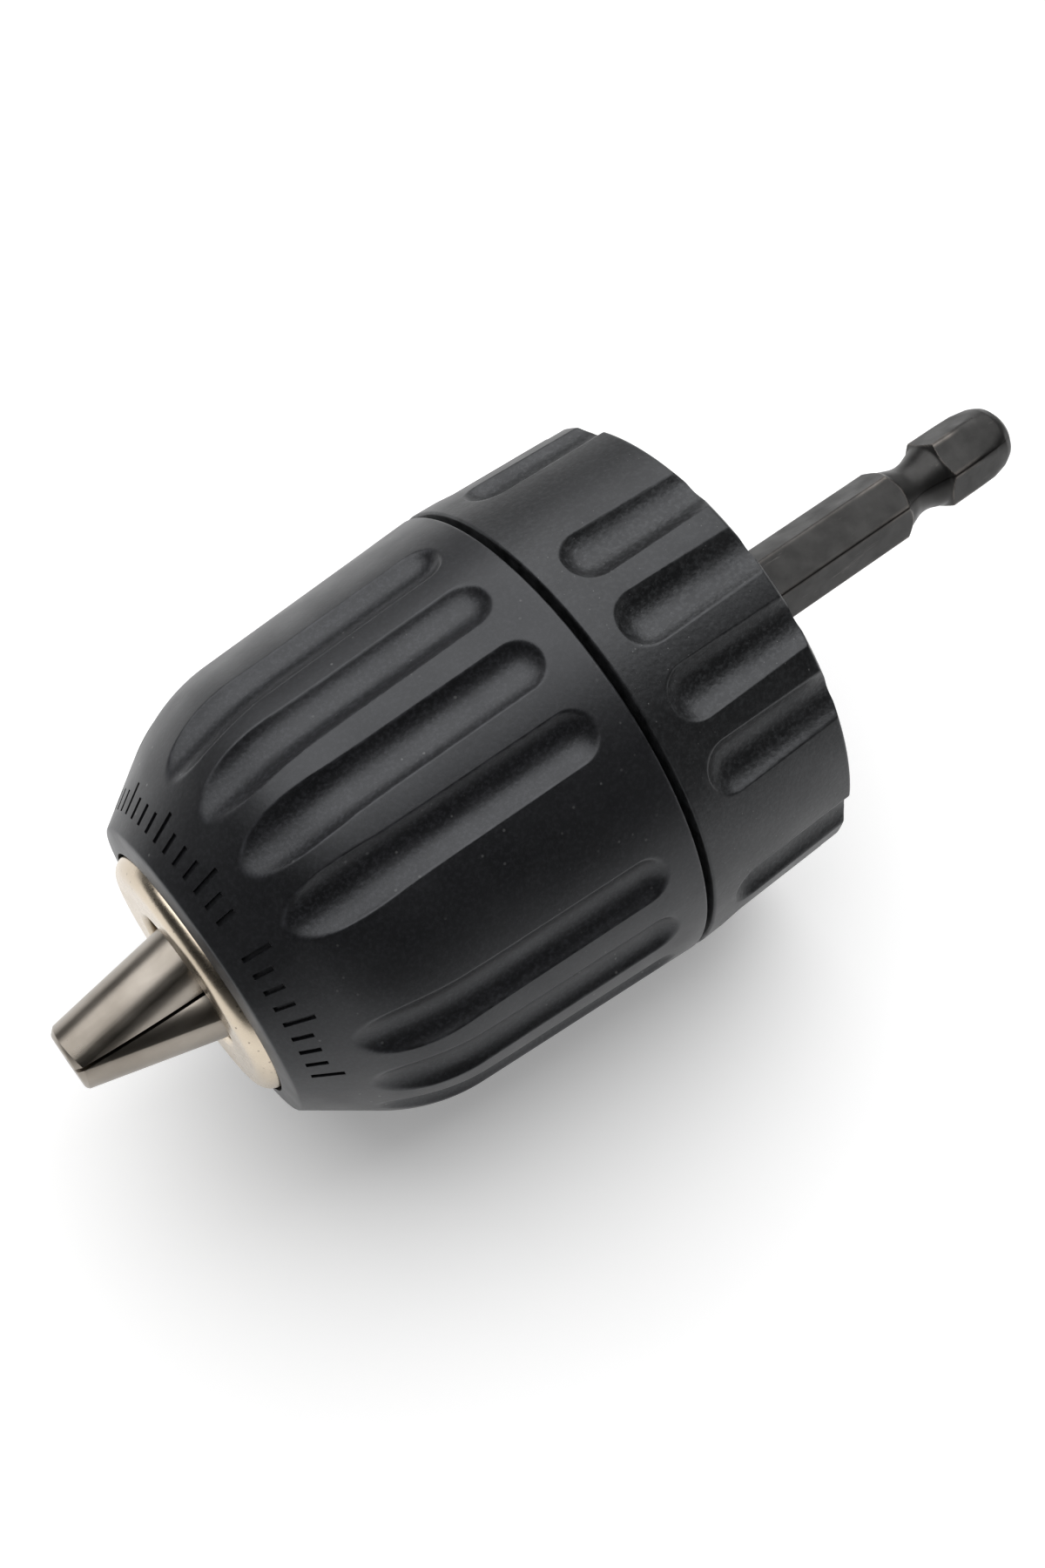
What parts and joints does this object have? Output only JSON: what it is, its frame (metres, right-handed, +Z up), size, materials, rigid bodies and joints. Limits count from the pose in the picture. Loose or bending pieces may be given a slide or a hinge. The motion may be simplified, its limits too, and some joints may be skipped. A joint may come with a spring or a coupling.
{
  "type": "keyless drill chuck",
  "caption": "Keyless three-jaw drill chuck with two fluted grip sleeves, a plated nose ring and a hexagonal quick-change shank.",
  "frame": {"origin": "centre of the hexagonal shank's end face, on the chuck's axis", "axes": "+X along the chuck's axis, from the shank to the jaws; +Z up, with the chuck lying on its side; +Y completes a right-handed frame"},
  "size_m": [0.1014, 0.0434, 0.0434],
  "materials": {
    "front_plastic": "satin black glass-filled nylon",
    "rear_plastic": "fine-grained satin black glass-filled nylon",
    "nickel_plate": "bright nickel plate",
    "jaw_steel": "ground, warm grey",
    "shank_steel": "dark brown-grey oxide with light rubs",
    "turned_steel": "turned",
    "bearing_steel": "ground and polished",
    "screw_steel": "zinc plated, yellowish"
  },
  "bodies": {
    "chuck": {"chuck_body": "turned_steel", "hex_adapter": "shank_steel", "retaining_screw": "screw_steel", "rear_sleeve": "rear_plastic", "nose_cap": "nickel_plate", "rear_race": "bearing_steel"},
    "grip": {"front_sleeve": "front_plastic", "nut_sleeve": "turned_steel", "nut_half_a": "turned_steel", "nut_half_b": "turned_steel", "front_race": "bearing_steel"},
    "ball_set": {"ball_cage": "bearing_steel", "bearing_ball_1": "bearing_steel", "bearing_ball_2": "bearing_steel", "bearing_ball_3": "bearing_steel", "bearing_ball_4": "bearing_steel", "bearing_ball_5": "bearing_steel", "bearing_ball_6": "bearing_steel", "bearing_ball_7": "bearing_steel", "bearing_ball_8": "bearing_steel", "bearing_ball_9": "bearing_steel", "bearing_ball_10": "bearing_steel", "bearing_ball_11": "bearing_steel", "bearing_ball_12": "bearing_steel", "bearing_ball_13": "bearing_steel", "bearing_ball_14": "bearing_steel", "bearing_ball_15": "bearing_steel"},
    "jaw_1": {"jaw_1": "jaw_steel"},
    "jaw_2": {"jaw_2": "jaw_steel"},
    "jaw_3": {"jaw_3": "jaw_steel"}
  },
  "joints": [
    {"name": "sleeve_spin", "type": "hinge", "parent": "chuck", "child": "grip", "pos_m": [0.07, 0, 0], "axis": [1, 0, 0], "range_deg": [0, 3200]},
    {"name": "cage_spin", "type": "hinge", "parent": "chuck", "child": "ball_set", "pos_m": [0.0647, 0, 0], "axis": [1, 0, 0], "range_deg": [0, 1600]},
    {"name": "jaw_1_slide", "type": "slide", "parent": "chuck", "child": "jaw_1", "axis": [-0.9681, -0.061, 0.2428], "range_m": [0, 0.0184]},
    {"name": "jaw_2_slide", "type": "slide", "parent": "chuck", "child": "jaw_2", "axis": [-0.9681, 0.2408, -0.0686], "range_m": [0, 0.0184]},
    {"name": "jaw_3_slide", "type": "slide", "parent": "chuck", "child": "jaw_3", "axis": [-0.9681, -0.1798, -0.1742], "range_m": [0, 0.0184]}
  ],
  "couplings": [
    {"joint": "cage_spin", "follows": "sleeve_spin", "ratio": 0.5},
    {"joint": "jaw_1_slide", "follows": "sleeve_spin", "m_per_rad": 0.00032878},
    {"joint": "jaw_2_slide", "follows": "sleeve_spin", "m_per_rad": 0.00032878},
    {"joint": "jaw_3_slide", "follows": "sleeve_spin", "m_per_rad": 0.00032878}
  ]
}
